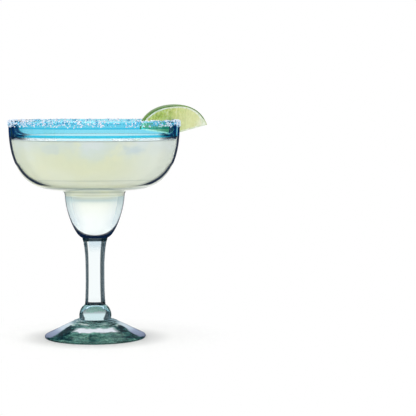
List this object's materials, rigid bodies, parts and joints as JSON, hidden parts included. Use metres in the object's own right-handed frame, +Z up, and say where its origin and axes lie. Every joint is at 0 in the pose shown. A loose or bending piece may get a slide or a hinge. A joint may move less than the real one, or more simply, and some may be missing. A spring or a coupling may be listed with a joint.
{
  "type": "margarita glass",
  "caption": "Hand-blown stemmed margarita glass: wide bowl over a small cup, coloured salted rim, pale drink with ice cubes and a lime wedge on the rim.",
  "frame": {"origin": "centre of the rest plane under the foot, on the glass's axis", "axes": "+Z up along the stem, +X to the right and +Y away from the viewer in the picture"},
  "size_m": [0.1555, 0.133, 0.1798],
  "materials": {
    "clear_glass": "clear hand-blown glass with a faint blue-green tint",
    "foot_glass": "thick clear hand-blown glass, sea green in its depth",
    "aqua_glass": "clear aqua blue glass",
    "salt": "coarse white salt crystals",
    "drink": "cloudy pale yellow-green drink",
    "ice": "wet clear ice with a cloudy middle",
    "lime_zest": "dimpled waxy green peel",
    "lime_pith": "soft white pith",
    "lime_flesh": "wet yellow-green fruit flesh in fine sacs"
  },
  "bodies": {
    "glass": {"foot": "foot_glass", "collar": "foot_glass", "knop": "foot_glass", "stem": "clear_glass", "bowl": "clear_glass", "rim_band": "aqua_glass", "salt_rim": "salt", "drink": "drink"},
    "ice_1": {"ice_cube_1": "ice"},
    "ice_2": {"ice_cube_2": "ice"},
    "ice_3": {"ice_cube_3": "ice"},
    "lime_wedge": {"lime_zest": "lime_zest", "lime_pith": "lime_pith", "lime_membrane": "lime_pith", "lime_segment_1": "lime_flesh", "lime_segment_2": "lime_flesh", "lime_segment_3": "lime_flesh"}
  },
  "joints": [
    {"name": "ice_1_lift", "type": "slide", "parent": "glass", "child": "ice_1", "axis": [0, 0, 1], "range_m": [0, 0.05]},
    {"name": "ice_2_lift", "type": "slide", "parent": "glass", "child": "ice_2", "axis": [0, 0, 1], "range_m": [0, 0.05]},
    {"name": "ice_3_lift", "type": "slide", "parent": "glass", "child": "ice_3", "axis": [0, 0, 1], "range_m": [0, 0.05]},
    {"name": "lime_lift", "type": "slide", "parent": "glass", "child": "lime_wedge", "axis": [0, 0, 1], "range_m": [0, 0.03]}
  ]
}
